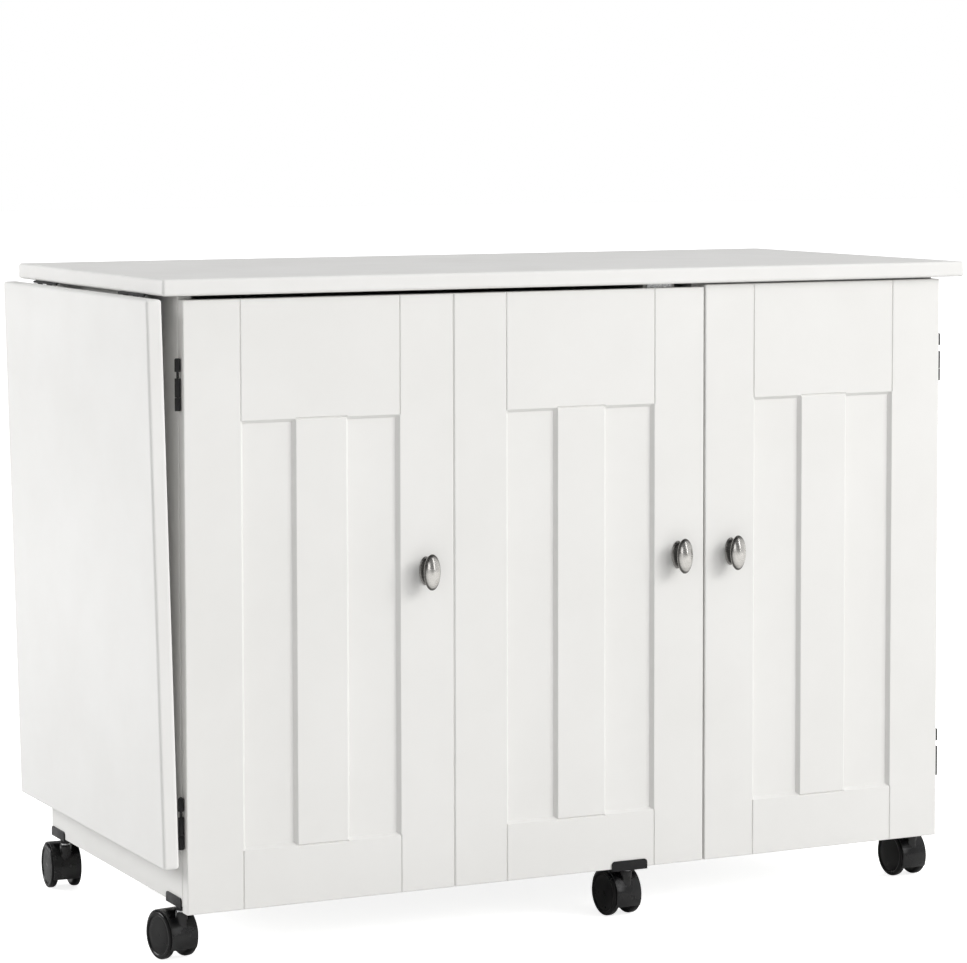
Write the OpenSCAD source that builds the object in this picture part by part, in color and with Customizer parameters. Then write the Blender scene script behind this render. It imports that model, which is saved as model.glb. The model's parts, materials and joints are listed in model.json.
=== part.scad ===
// Folding sewing table: a cabinet on casters with a drop leaf, a wide door and a narrow door.
// Millimetres, +Z up.  The front faces -Y and the leaf hangs on the left, at -X.
// Places inside table() are measured from the top's front left corner, straight down on the floor.

/* [Top and leaf] */
// Width of the tabletop
top_w = 1000; // [900:10:1200]
// Depth of the tabletop
top_d = 482; // [460:2:560]
// Height of the tabletop's upper face above the floor
top_h = 738; // [700:2:800]
// Thickness of the tabletop and of the leaf
top_t = 18; // [16:1:22]
// Rounding of the tabletop's and the leaf's edges
edge_r = 3.5; // [1:0.5:6]
// Length of the leaf from its hinge to its free end
leaf_l = 605.6; // [500:0.2:606]
// Lean of the hanging leaf towards the cabinet, in degrees
leaf_lean = 1.4; // [0:0.1:1.4]
// Gap between the raised leaf and the tabletop
leaf_gap = 0.4; // [0.4:0.1:1]

/* [Cabinet] */
// Thickness of the cabinet's boards and of the doors
board_t = 16; // [15:1:18]
// Overhang of the tabletop past each side panel
side_overhang = 27.5; // [27:0.5:40]
// Overhang of the tabletop in front of the doors
front_overhang = 12; // [8:1:30]
// Overhang of the tabletop behind the side panels
rear_overhang = 21; // [10:1:40]
// Height of the cabinet's lower edge above the floor
base_z = 64; // [62:1:80]
// Space between a closed door and the cabinet's front edges, for the hinge plates
door_space = 1.2; // [1.2:0.1:2]
// Thickness of the back boards
back_t = 3; // [3:0.5:5]
// Height of the rear and front top rails
rail_h = 60; // [40:5:100]

/* [Doors] */
// Height of the doors' lower edge above the floor
door_z = 58; // [57:1:62]
// Gap between the wide door and the tabletop
wide_door_gap = 5; // [3:0.5:8]
// Gap between the narrow door and the tabletop
right_door_gap = 2.5; // [2:0.5:8]
// Gap between the two doors
middle_gap = 2.5; // [1.5:0.5:5]
// Width of each front's two upright frame members
stile_w = 64.5; // [50:0.5:80]
// Width of the batten between a front's two recesses
batten_w = 58.6; // [40:0.2:80]
// Height of a front's upper rail, below the door's top edge
upper_rail = 130; // [90:1:160]
// Height of the recesses' lower ends above the floor
recess_z = 121.5; // [100:0.5:160]
// Depth of the recesses
recess_depth = 5; // [3:0.5:7]
// Width of the recesses' bevelled walls
bevel_w = 3.5; // [2:0.5:6]
// Width of the V-grooves between the rails and the uprights
joint_groove = 2; // [1:0.2:3]
// Width of the V-grooves between the rails and the battens
batten_groove = 2.6; // [1:0.2:3]
// Width of the V-groove that divides the wide door's two fronts
seam_groove = 3; // [2:0.5:5]
// Depth of a V-groove over half its width
groove_steepness = 1.5; // [0.5:0.1:2]

/* [Knobs] */
// Height of the knobs' centres above the floor
knob_z = 412; // [300:1:500]
// Distance of the knobs from the middle of the meeting line of two fronts
knob_inset = 34.5; // [24:1:45]
// Distance that the knobs stand out from the doors
knob_out = 24.5; // [20:0.5:35]
// Height of an oval knob over its width
knob_stretch = 2; // [1:0.05:2.5]

/* [Casters] */
// Radius of the wheels
wheel_r = 26; // [25:0.5:27]
// Width of one wheel of a pair
wheel_w = 9.2; // [8.6:0.2:10]
// Distance of the axle behind the stem's axis
trail = 20; // [18:0.5:22]
// Distance of the front stems behind the tabletop's front edge
front_stem_y = 52; // [52:1:80]
// Distance of the rear stems behind the tabletop's front edge
rear_stem_y = 436; // [400:1:437]
// Distance of the door caster's stem from the tabletop's left edge
door_stem_x = 561; // [450:1:600]

/* [Hidden] */
$fn = 48;

// Colours
WHITE = [0.93, 0.92, 0.9];
INSIDE = [0.88, 0.87, 0.85];
BLACK = [0.08, 0.08, 0.085];
STEEL = [0.72, 0.72, 0.74];
NICKEL = [0.62, 0.61, 0.59];

// Small amounts: a running fit, a snug fit and the overlap that makes two solids one
run_fit = 0.05;
snug = 0.03;
eps = 0.05;

// The top and the cabinet's boxes, in table() places
top_z = top_h - top_t;
door_y = front_overhang;
door_back = door_y + board_t;
front_y = door_back + door_space;
rear_y = top_d - rear_overhang;
left_x = side_overhang;
right_x = top_w - side_overhang;
bay_left = left_x + board_t;
bay_right = right_x - board_t;
bay_z = base_z + board_t;
front_w = (right_x - left_x) / 3;
meeting_x = right_x - front_w;
part_left = meeting_x - board_t / 2;
part_right = meeting_x + board_t / 2;
back_y = rear_y - 11;
groove_depth = 4;
shelf_front = front_y + 12;
shelf_rear = back_y - 2;
shelf_play = 1;
wide_shelf_z = 392;
upper_shelf_z = 505;
lower_shelf_z = 292;

// Leaf hinge: its axis runs along Y, just below the tabletop's left edge
leaf_hinge_drop = 1.5;
leaf_axis_x = 0.9;
leaf_barrel_r = 1.3;
leaf_plate_t = 1;
leaf_plate_w = 25;
leaf_hinge_l = 80;
leaf_hinge_y = [97, 385];
leaf_axis_z = top_z - leaf_hinge_drop;
leaf_pin_r = 0.7;
leaf_knuckles = 5;
knuckle_gap = 0.4;

// Door hinges: their axes stand upright, outside the side panels' front corners
hinge_out = 3.5;
hinge_fore = 7.3;
barrel_r = 3.2;
pin_r = 1.4;
hinge_l = 55;
side_knuckles = [[0, 14], [41.5, 55]];
door_knuckle = [14.5, 34.5];
door_plate_t = 0.9;
door_plate_w = 21;
side_plate_t = 1;
side_plate_w = 14;
hinge_z = [155.5, 625];
hinge_x = left_x - hinge_out;
hinge_y = door_back - hinge_fore;

// Screws: a flush head and a shank that bites into the board
head_r = 2.2;
head_t = 0.7;
shank_r = 1.2;
shank_l = 11;

// Cam joints: a lock in the face of one board draws in a bolt from the next one
cam_r = 7.5;
cam_depth = 12;
cam_inset = 34;
bolt_r = 3.4;
bolt_grip = 9;

// Casters
axle_z = wheel_r;
hood_in_r = wheel_r + 0.6;
hood_r = wheel_r + 2;
boss_r = 6.8;
boss_top = hood_r + axle_z - 0.1;
stem_r = 4;
wheel_in = 9;
hood_w = 2 * (wheel_in + wheel_w) - 4.4;
axle_r = 2.5;
axle_grip = 6.6;
collar_t = 1.4;
sleeve_z = boss_top + collar_t + 0.2;
sleeve_r = 6;
saddle_l = 45;
saddle_t = 2;
flange_h = 9;
flange_t = 1.6;
left_stem_x = left_x + board_t / 2;
right_stem_x = right_x - board_t / 2;

// Each caster: stem place, heading in degrees, top end of its stem
FRONT_LEFT = [[left_stem_x, front_stem_y], 10, base_z + 30];
REAR_LEFT = [[left_stem_x, rear_stem_y], -4, base_z + 30];
FRONT_RIGHT = [[right_stem_x, front_stem_y], 1, base_z + 30];
REAR_RIGHT = [[right_stem_x, rear_stem_y], 4, base_z + 30];
DOOR_CASTER = [[door_stem_x, door_y + board_t / 2], 4, door_z + 30];

// The frame's origin: on the floor, under the middle of the bounding box at rest
leaf_reach = leaf_hinge_drop + top_t - leaf_axis_x;
caster_rear = rear_stem_y + trail + wheel_r + 2;
origin_x = (top_w - leaf_reach) / 2;
origin_y = (max(top_d, caster_rear) + door_y - knob_out) / 2;

module table() {
    translate([-origin_x, -origin_y, 0]) children();
}

// A box given by its two corners
module box(low, high) {
    translate(low) cube(high - low);
}

// A rectangle with round corners
module round_rect(w, h, r) {
    translate([r, 0]) square([w - 2 * r, h]);
    translate([0, r]) square([w, h - 2 * r]);
    for (x = [r, w - r], y = [r, h - r]) translate([x, y]) circle(r);
}

// A board lying flat, all its edges rounded
module eased_board(w, d, t, r) {
    intersection() {
        translate([0, d, 0]) rotate([90, 0, 0]) linear_extrude(d) round_rect(w, t, r);
        rotate([90, 0, 90]) linear_extrude(w) round_rect(d, t, r);
    }
}

// ---- Cam joints --------------------------------------------------------------------------
// In its own frame a cam joint lies under a face at z = 0, and its bolt runs along +X.
module cam_lock() {
    difference() {
        translate([0, 0, -cam_depth]) cylinder(r = cam_r, h = cam_depth - 0.4);
        translate([0, 0, -board_t / 2]) rotate([0, 90, 0]) cylinder(r = bolt_r + 0.1, h = cam_r + 1);
        translate([-5, -0.8, -1.6]) cube([10, 1.6, 2]);
    }
}

module cam_bolt() {
    translate([1, 0, -board_t / 2]) rotate([0, 90, 0]) cylinder(r = bolt_r, h = cam_inset - 1);
    translate([cam_inset - 1, 0, -board_t / 2]) rotate([0, 90, 0]) cylinder(r = 2.4, h = bolt_grip + 1);
}

module cam_cut() {
    translate([0, 0, -cam_depth - 0.1]) cylinder(r = cam_r + 0.1, h = cam_depth + 1);
    translate([0, 0, -board_t / 2]) rotate([0, 90, 0]) cylinder(r = bolt_r + 0.1, h = cam_inset + 0.1);
    translate([cam_inset, 0, -board_t / 2]) rotate([0, 90, 0]) cylinder(r = 2.5, h = bolt_grip + 0.3);
}

// Upright boards to the tabletop and the bottom: locks on the bays' faces, bolts up and down
module upright_cams() {
    for (y = [120, 380]) {
        translate([bay_left, y, top_z - cam_inset]) rotate([0, 90, 0]) rotate([0, 0, 180]) children();
        translate([bay_right, y, top_z - cam_inset]) rotate([0, -90, 0]) children();
        translate([part_left, y, top_z - cam_inset]) rotate([0, -90, 0]) children();
        translate([part_left, y, bay_z + cam_inset]) rotate([0, -90, 0]) rotate([0, 0, 180]) children();
    }
}

// Bottom board to the side panels: locks on its upper face, bolts to the left and right
module bottom_cams() {
    for (y = [90, 400]) {
        translate([bay_left + cam_inset, y, bay_z]) rotate([0, 0, 180]) children();
        translate([bay_right - cam_inset, y, bay_z]) children();
    }
}

// Top rails to the upright boards: locks on the rails' inner faces
module rail_cams() {
    z = top_z - rail_h / 2;
    translate([bay_left + cam_inset, back_y - 1 - board_t, z])
        rotate([90, 0, 0]) rotate([0, 0, 180]) children();
    translate([part_left - cam_inset, back_y - 1 - board_t, z]) rotate([90, 0, 0]) children();
    translate([part_right + cam_inset, front_y + board_t, z])
        rotate([-90, 0, 0]) rotate([0, 0, 180]) children();
    translate([bay_right - cam_inset, front_y + board_t, z]) rotate([-90, 0, 0]) children();
}

module all_cams() {
    upright_cams() children();
    bottom_cams() children();
    rail_cams() children();
}

module cam_locks() {
    color(STEEL) table() all_cams() cam_lock();
}

module cam_bolts() {
    color(STEEL) table() all_cams() cam_bolt();
}

// ---- Boards ------------------------------------------------------------------------------
module tabletop() {
    color(WHITE) table() difference() {
        translate([0, 0, top_z]) eased_board(top_w, top_d, top_t, edge_r);
        upright_cams() cam_cut();
    }
}

// The grooves that hold the back boards
module back_grooves() {
    box([bay_left - groove_depth, back_y, bay_z - groove_depth] - [0.1, 0.1, 0.1],
        [bay_right + groove_depth, back_y + back_t, top_z] + [0.1, 0.1, 1]);
}

module side_panel(x, stem_x) {
    difference() {
        box([x, front_y, base_z], [x + board_t, rear_y, top_z]);
        all_cams() cam_cut();
        back_grooves();
        shelf_places() shelf_pin_cut();
        for (y = [front_stem_y, rear_stem_y])
            translate([stem_x, y, base_z - 1]) cylinder(r = sleeve_r + eps, h = 34);
    }
}

// The seats of the left hinges' side plates in the panel's front edge
module hinge_seats() {
    for (zc = hinge_z) translate([0, 0, zc - hinge_l / 2])
        box([left_x - 1, front_y - 1, -eps],
            [left_x + side_plate_w + eps, front_y + side_plate_t + eps, hinge_l + eps]);
}

module left_side_panel() {
    color(WHITE) table() difference() {
        side_panel(left_x, left_stem_x);
        hinge_seats();
    }
}

module right_side_panel() {
    color(WHITE) table() difference() {
        side_panel(bay_right, right_stem_x);
        on_the_right() hinge_seats();
    }
}

module partition_panel() {
    color(INSIDE) table() difference() {
        box([part_left, front_y, bay_z], [part_right, rear_y, top_z]);
        all_cams() cam_cut();
        shelf_places() shelf_pin_cut();
        for (x = [part_left - 1, part_right - groove_depth - 0.1])
            box([x, back_y - 0.1, bay_z - 1], [x + groove_depth + 1.1, back_y + back_t + 0.1, top_z + 1]);
    }
}

module bottom_panel() {
    color(INSIDE) table() difference() {
        box([bay_left, front_y, base_z], [bay_right, rear_y, bay_z]);
        upright_cams() cam_cut();
        bottom_cams() cam_cut();
        back_grooves();
    }
}

module back_board(x0, x1) {
    box([x0 - groove_depth, back_y, bay_z - groove_depth], [x1 + groove_depth, back_y + back_t, top_z - 0.3]);
}

module wide_back_panel() {
    color(INSIDE) table() difference() {
        back_board(bay_left, part_left);
        box([part_left, back_y - 1, base_z], [part_right, rear_y, bay_z + 0.3]);
    }
}

module narrow_back_panel() {
    color(INSIDE) table() difference() {
        back_board(part_right, bay_right);
        box([part_left, back_y - 1, base_z], [part_right, rear_y, bay_z + 0.3]);
    }
}

module rear_top_rail() {
    color(INSIDE) table() difference() {
        box([bay_left, back_y - 1 - board_t, top_z - rail_h], [part_left, back_y - 1, top_z]);
        rail_cams() cam_cut();
    }
}

module front_top_rail() {
    color(INSIDE) table() difference() {
        box([part_right, front_y, top_z - rail_h], [bay_right, front_y + board_t, top_z]);
        rail_cams() cam_cut();
    }
}

// ---- Shelves -----------------------------------------------------------------------------
module shelf(x0, x1, z) {
    box([x0 + shelf_play, shelf_front, z], [x1 - shelf_play, shelf_rear, z + board_t]);
}

module wide_bay_shelf() {
    color(INSIDE) table() shelf(bay_left, part_left, wide_shelf_z);
}

module upper_shelf() {
    color(INSIDE) table() shelf(part_right, bay_right, upper_shelf_z);
}

module lower_shelf() {
    color(INSIDE) table() shelf(part_right, bay_right, lower_shelf_z);
}

shelf_pin_r = 2.5;
shelf_pin_in = 7;
shelf_pin_out = 9;

// Where the shelf pins are, each pointing along +X into its bay
module shelf_places() {
    for (y = [shelf_front + 40, shelf_rear - 40]) {
        translate([bay_left, y, wide_shelf_z - shelf_pin_r]) children();
        translate([part_left, y, wide_shelf_z - shelf_pin_r]) rotate([0, 0, 180]) children();
        for (z = [upper_shelf_z, lower_shelf_z]) {
            translate([part_right, y, z - shelf_pin_r]) children();
            translate([bay_right, y, z - shelf_pin_r]) rotate([0, 0, 180]) children();
        }
    }
}

module shelf_pin() {
    translate([-shelf_pin_in, 0, 0]) rotate([0, 90, 0])
        cylinder(r = shelf_pin_r, h = shelf_pin_in + shelf_pin_out);
}

module shelf_pin_cut() {
    translate([-shelf_pin_in - 0.1, 0, 0]) rotate([0, 90, 0])
        cylinder(r = shelf_pin_r + snug, h = shelf_pin_in + 0.2);
}

module shelf_pins() {
    color(STEEL) table() shelf_places() shelf_pin();
}

// ---- Doors -------------------------------------------------------------------------------
// A V-groove along +Z in a face that looks towards -Y
module groove_up(w, l) {
    steep = groove_steepness;
    linear_extrude(l)
        polygon([[-w / 2 - eps, -steep * eps], [w / 2 + eps, -steep * eps], [0, steep * w / 2]]);
}

module groove_across(w, l) {
    rotate([0, 90, 0]) groove_up(w, l);
}

// A recess with bevelled walls, from its low left corner on a face that looks towards -Y
module recess(w, h) {
    intersection() {
        linear_extrude(h) polygon([[0, 0], [0, -1], [w, -1], [w, 0],
                                   [w - bevel_w, recess_depth], [bevel_w, recess_depth]]);
        rotate([90, 0, 90]) linear_extrude(w) polygon([[0, 0], [-1, 0], [-1, h], [0, h],
                                       [recess_depth, h - bevel_w], [recess_depth, bevel_w]]);
    }
}

// How far a V-groove runs on into the recess where it ends
groove_run = 0.7;

// The decoration of one front whose left edge is at x, on a door that reaches up to z1
module front_cuts(x, z1) {
    recess_w = (front_w - batten_w) / 2 - stile_w;
    recess_top = z1 - upper_rail;
    for (dx = [stile_w, (front_w + batten_w) / 2])
        translate([x + dx, door_y, recess_z]) recess(recess_w, recess_top - recess_z);
    for (dx = [stile_w, front_w - stile_w]) {
        translate([x + dx, door_y, door_z - 1]) groove_up(joint_groove, recess_z + groove_run - door_z + 1);
        translate([x + dx, door_y, recess_top - groove_run])
            groove_up(joint_groove, z1 + 1 - recess_top + groove_run);
    }
    for (z = [recess_z, recess_top])
        translate([x + (front_w - batten_w) / 2 - groove_run, door_y, z])
            groove_across(batten_groove, batten_w + 2 * groove_run);
}

wide_door_top = top_z - wide_door_gap;
right_door_top = top_z - right_door_gap;
wide_knob_x = [left_x + front_w - knob_inset, meeting_x - knob_inset];
right_knob_x = meeting_x + knob_inset;
knob_bolt_r = 2;

module knob_hole(x) {
    translate([x, door_y - 1, knob_z]) rotate([-90, 0, 0]) cylinder(r = knob_bolt_r + 0.1, h = board_t + 2);
}

module wide_door_panel() {
    color(WHITE) table() difference() {
        box([left_x, door_y, door_z], [meeting_x - middle_gap / 2, door_back, wide_door_top]);
        front_cuts(left_x, wide_door_top);
        front_cuts(left_x + front_w, wide_door_top);
        translate([left_x + front_w, door_y, door_z - 1]) groove_up(seam_groove, wide_door_top - door_z + 2);
        for (x = wide_knob_x) knob_hole(x);
        translate([door_stem_x, door_y + board_t / 2, door_z - 1]) cylinder(r = sleeve_r - 0.5 + eps, h = 34);
    }
}

module right_door_panel() {
    color(WHITE) table() difference() {
        box([meeting_x + middle_gap / 2, door_y, door_z], [right_x, door_back, right_door_top]);
        front_cuts(meeting_x, right_door_top);
        knob_hole(right_knob_x);
    }
}

// An oval knob: foot, waist and domed head, standing out towards -Y
module knob(x) {
    head = 10;
    foot = 7.9;
    table() translate([x, door_y, knob_z]) rotate([90, 0, 0])
        resize([2 * head, 2 * head * knob_stretch, knob_out])
        rotate_extrude($fn = 48) polygon([[0, 0], [foot, 0], [foot, 1.6], [6.6, 3], [5.3, 6],
            [4.9, 9.5], [5.3, 12.4], [7, 14.8], [head - 0.5, 16], [head, 17.2], [head - 0.2, 18.6],
            [8.3, 20.9], [5.8, knob_out - 1.7], [3, knob_out - 0.5], [0, knob_out]]);
}

module wide_door_left_knob() {
    color(NICKEL) knob(wide_knob_x[0]);
}

module wide_door_right_knob() {
    color(NICKEL) knob(wide_knob_x[1]);
}

module right_door_knob() {
    color(NICKEL) knob(right_knob_x);
}

// The bolt that holds a knob from the door's back, its head on the back face
module knob_bolt(x) {
    translate([x, door_y - 9, knob_z]) rotate([-90, 0, 0]) cylinder(r = knob_bolt_r, h = board_t + 9.5);
    translate([x, door_back, knob_z]) rotate([-90, 0, 0]) cylinder(r = 4.5, h = 2.2);
}

// ---- Door hinges -------------------------------------------------------------------------
// A screw with its head's face at z = 0, driven down
module screw() {
    translate([0, 0, -head_t]) cylinder(r = head_r, h = head_t);
    translate([0, 0, -shank_l]) cylinder(r = shank_r, h = shank_l);
}

module screw_hole() {
    translate([0, 0, -3]) cylinder(r = head_r + eps, h = 4);
}

// A knuckle from z0 to z1, and the strap that joins it to a plate whose back is at y1
module knuckle(z0, z1, strap_x, y1) {
    translate([hinge_x, hinge_y, z0]) cylinder(r = barrel_r, h = z1 - z0);
    box([strap_x - side_plate_t, hinge_y, z0], [strap_x, y1, z1]);
}

// The side plate of the left door's hinges: two knuckles, and a plate in the panel's front edge
module side_plates() {
    for (zc = hinge_z) translate([0, 0, zc - hinge_l / 2]) difference() {
        union() {
            box([left_x, front_y, 0], [left_x + side_plate_w, front_y + side_plate_t, hinge_l]);
            for (k = side_knuckles) {
                knuckle(k[0], k[1], left_x - 0.3, front_y + side_plate_t);
                box([left_x - 1, front_y, k[0]], [left_x + 1, front_y + side_plate_t, k[1]]);
            }
        }
        translate([hinge_x, hinge_y, -1]) cylinder(r = pin_r + run_fit, h = hinge_l + 2);
        side_plate_screws() screw_hole();
    }
}

module side_plate_screws() {
    for (z = [10, hinge_l - 10]) translate([left_x + 8, front_y, z]) rotate([90, 0, 0]) children();
}

// The door plate of the left door's hinges: one knuckle, and a plate on the door's back
module door_plates() {
    for (zc = hinge_z) translate([0, 0, zc - hinge_l / 2]) difference() {
        union() {
            box([left_x, door_back, 0], [left_x + door_plate_w, door_back + door_plate_t, hinge_l]);
            knuckle(door_knuckle[0], door_knuckle[1], left_x, door_back + door_plate_t);
            box([left_x - 1, door_back, door_knuckle[0]],
                [left_x + 1, door_back + door_plate_t, door_knuckle[1]]);
        }
        translate([hinge_x, hinge_y, -1]) cylinder(r = pin_r + run_fit, h = hinge_l + 2);
        door_plate_screws() screw_hole();
    }
}

module door_plate_screws() {
    for (z = [10, hinge_l - 10])
        translate([left_x + door_plate_w - 6, door_back + door_plate_t, z]) rotate([-90, 0, 0]) children();
}

module hinge_pins() {
    for (zc = hinge_z) translate([hinge_x, hinge_y, zc - hinge_l / 2]) {
        cylinder(r = pin_r, h = hinge_l);
        translate([0, 0, hinge_l]) cylinder(r = barrel_r - 0.8, h = 0.8);
    }
}

// What the left hinges have, turned over for the right door
module on_the_right() {
    translate([top_w, 0, 0]) mirror([1, 0, 0]) children();
}

module left_hinge_side_plates() {
    color(BLACK) table() side_plates();
}

module right_hinge_side_plates() {
    color(BLACK) table() on_the_right() side_plates();
}

module wide_door_hinge_plates() {
    color(BLACK) table() door_plates();
}

module right_door_hinge_plates() {
    color(BLACK) table() on_the_right() door_plates();
}

module door_hinge_pins() {
    color(BLACK) table() {
        hinge_pins();
        on_the_right() hinge_pins();
    }
}

// ---- Catches -----------------------------------------------------------------------------
catch_w = 40;
catch_d = 14;
catch_h = 12;
strike_t = 1;
wide_catch = [part_left - 62, top_z - catch_h];
right_catch = [part_right + 12, top_z - rail_h - catch_h];

module catch_body(place) {
    box([place[0], front_y + 0.4, place[1]],
        [place[0] + catch_w, front_y + 0.4 + catch_d, place[1] + catch_h]);
}

module magnetic_catches() {
    color(WHITE) table() {
        catch_body(wide_catch);
        catch_body(right_catch);
    }
}

module strike(place) {
    box([place[0] + 4, door_back, place[1] - 1],
        [place[0] + catch_w - 4, door_back + strike_t, place[1] + catch_h - 1]);
}

module wide_door_strike() {
    color(STEEL) table() strike(wide_catch);
}

module right_door_strike() {
    color(STEEL) table() strike(right_catch);
}

// ---- Leaf and its hinges -----------------------------------------------------------------
// The leaf's pieces are drawn raised, and this hangs them down
module hanging() {
    translate([leaf_axis_x, 0, leaf_axis_z]) rotate([0, -90 - leaf_lean, 0])
        translate([-leaf_axis_x, 0, -leaf_axis_z]) children();
}

module drop_leaf() {
    color(WHITE) table() hanging()
        translate([-leaf_gap - leaf_l, 0, top_z]) eased_board(leaf_l, top_d, top_t, edge_r);
}

// Lengths of one leaf hinge's knuckles along its axis; the even ones belong to the tabletop
leaf_knuckle = (leaf_hinge_l - (leaf_knuckles - 1) * knuckle_gap) / leaf_knuckles;

// One hinge plate on the face at top_z, on the +X side of an axis at x = 0, with the knuckles from first on
module leaf_plate(first) {
    difference() {
        union() {
            box([leaf_barrel_r + 0.4, 0, top_z - leaf_plate_t], [leaf_plate_w, leaf_hinge_l, top_z]);
            for (i = [first:2:leaf_knuckles - 1]) translate([0, i * (leaf_knuckle + knuckle_gap), 0]) {
                translate([0, 0, leaf_axis_z]) rotate([-90, 0, 0])
                    cylinder(r = leaf_barrel_r, h = leaf_knuckle);
                box([0.4, 0, top_z - leaf_plate_t], [leaf_plate_w, leaf_knuckle, top_z - 0.2]);
            }
        }
        translate([0, -1, leaf_axis_z]) rotate([-90, 0, 0])
            cylinder(r = leaf_pin_r + run_fit, h = leaf_hinge_l + 2);
        leaf_screw_places() screw_hole();
    }
}

module leaf_screw_places() {
    for (y = [12, leaf_hinge_l / 2, leaf_hinge_l - 12])
        translate([leaf_plate_w - 8, y, top_z - leaf_plate_t]) rotate([180, 0, 0]) children();
}

module leaf_hinge_places() {
    for (yc = leaf_hinge_y) translate([leaf_axis_x, yc - leaf_hinge_l / 2, 0]) children();
}

module leaf_hinge_top_plates() {
    color(BLACK) table() leaf_hinge_places() leaf_plate(0);
}

module leaf_hinge_leaf_plates() {
    color(BLACK) table() hanging() leaf_hinge_places() mirror([1, 0, 0]) leaf_plate(1);
}

module leaf_hinge_pins() {
    color(BLACK) table() leaf_hinge_places() {
        translate([0, 0, leaf_axis_z]) rotate([-90, 0, 0]) cylinder(r = leaf_pin_r, h = leaf_hinge_l);
        translate([0, -0.8, leaf_axis_z]) rotate([-90, 0, 0]) cylinder(r = leaf_barrel_r - 0.2, h = 0.8);
    }
}

module leaf_screws() {
    color(BLACK) table() hanging() leaf_hinge_places() mirror([1, 0, 0]) leaf_screw_places() screw();
}

// ---- Caster saddles ----------------------------------------------------------------------
// A socket tube for a stem, from its low end up to its closed top
module socket(r, z1) {
    difference() {
        translate([0, 0, sleeve_z]) cylinder(r = r, h = z1 + 2 - sleeve_z);
        translate([0, 0, sleeve_z - 1]) cylinder(r = stem_r + run_fit, h = z1 + 1 - sleeve_z);
    }
}

// A flange against a face that looks towards -Y, its upper corners rounded
module flange(w, h, t) {
    r = 4;
    translate([-w / 2, 0, 0]) rotate([90, 0, 0]) linear_extrude(t) {
        square([w, h - r]);
        translate([r, 0]) square([w - 2 * r, h]);
        for (x = [r, w - r]) translate([x, h - r]) circle(r);
    }
}

saddle_in = 36;

// The left side panel's saddle, around a stem at y
module side_saddle(y) {
    difference() {
        union() {
            box([left_x - flange_t, y - saddle_l / 2, base_z - saddle_t],
                [left_x + saddle_in, y + saddle_l / 2, base_z]);
            translate([left_x, y, base_z - saddle_t]) rotate([0, 0, -90])
                flange(saddle_l, saddle_t + flange_h, flange_t);
            translate([left_stem_x, y, 0]) socket(sleeve_r, base_z + 30);
        }
        translate([left_stem_x, y, sleeve_z - 1]) cylinder(r = stem_r + run_fit, h = base_z + 31 - sleeve_z);
        saddle_screws(y) screw_hole();
    }
}

module saddle_screws(y) {
    for (dy = [-14, 14])
        translate([left_x + saddle_in - 8, y + dy, base_z - saddle_t]) rotate([180, 0, 0]) children();
}

module caster_saddles() {
    color(BLACK) table() for (y = [front_stem_y, rear_stem_y]) {
        side_saddle(y);
        on_the_right() side_saddle(y);
    }
}

module door_caster_saddle() {
    back_flange_h = base_z - 1 - sleeve_z;
    color(BLACK) table() translate([door_stem_x, 0, 0]) difference() {
        union() {
            box([-saddle_l / 2, door_y - flange_t, sleeve_z],
                [saddle_l / 2, door_back + door_plate_t, door_z]);
            translate([0, door_y, sleeve_z]) flange(saddle_l, door_z - sleeve_z + flange_h, flange_t);
            translate([0, door_back + door_plate_t, sleeve_z]) flange(saddle_l, back_flange_h, door_plate_t);
            translate([0, door_y + board_t / 2, 0]) socket(sleeve_r - 0.5, door_z + 30);
        }
        translate([0, door_y + board_t / 2, sleeve_z - 1])
            cylinder(r = stem_r + run_fit, h = door_z + 31 - sleeve_z);
        door_saddle_screws() screw_hole();
    }
}

module door_saddle_screws() {
    for (x = [-16, 16]) translate([x, door_y + board_t / 2, sleeve_z]) rotate([180, 0, 0]) children();
}

// ---- Screws ------------------------------------------------------------------------------
module cabinet_screws() {
    color(BLACK) table() {
        leaf_hinge_places() leaf_screw_places() screw();
        for (zc = hinge_z) translate([0, 0, zc - hinge_l / 2]) {
            side_plate_screws() screw();
            on_the_right() side_plate_screws() screw();
        }
        for (y = [front_stem_y, rear_stem_y]) {
            saddle_screws(y) screw();
            on_the_right() saddle_screws(y) screw();
        }
    }
}

module wide_door_screws() {
    color(BLACK) table() {
        for (zc = hinge_z) translate([0, 0, zc - hinge_l / 2]) door_plate_screws() screw();
        translate([door_stem_x, 0, 0]) door_saddle_screws() screw();
        for (x = wide_knob_x) knob_bolt(x);
    }
}

module right_door_screws() {
    color(BLACK) table() {
        for (zc = hinge_z) translate([0, 0, zc - hinge_l / 2]) on_the_right() door_plate_screws() screw();
        knob_bolt(right_knob_x);
    }
}

// ---- Casters -----------------------------------------------------------------------------
// A caster's own frame: its stem along Z at the origin, its wheels trailing towards +Y
module caster_at(caster) {
    table() translate([caster[0][0], caster[0][1], 0]) rotate([0, 0, caster[1]]) children();
}

// A disc or tube around the axle, between two places along it
module around_axle(r, x0, x1) {
    translate([x0, trail, axle_z]) rotate([0, 90, 0]) cylinder(r = r, h = x1 - x0);
}

// The part of the turning circle that the hood covers, from behind the top to below the stem
module hood_sector() {
    reach = 2 * hood_r;
    points = [for (a = [18:38:208]) reach * [cos(a), sin(a)]];
    translate([-hood_w, trail, axle_z]) rotate([90, 0, 90]) linear_extrude(2 * hood_w)
        polygon(concat([[0, 0]], points));
}

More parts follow.
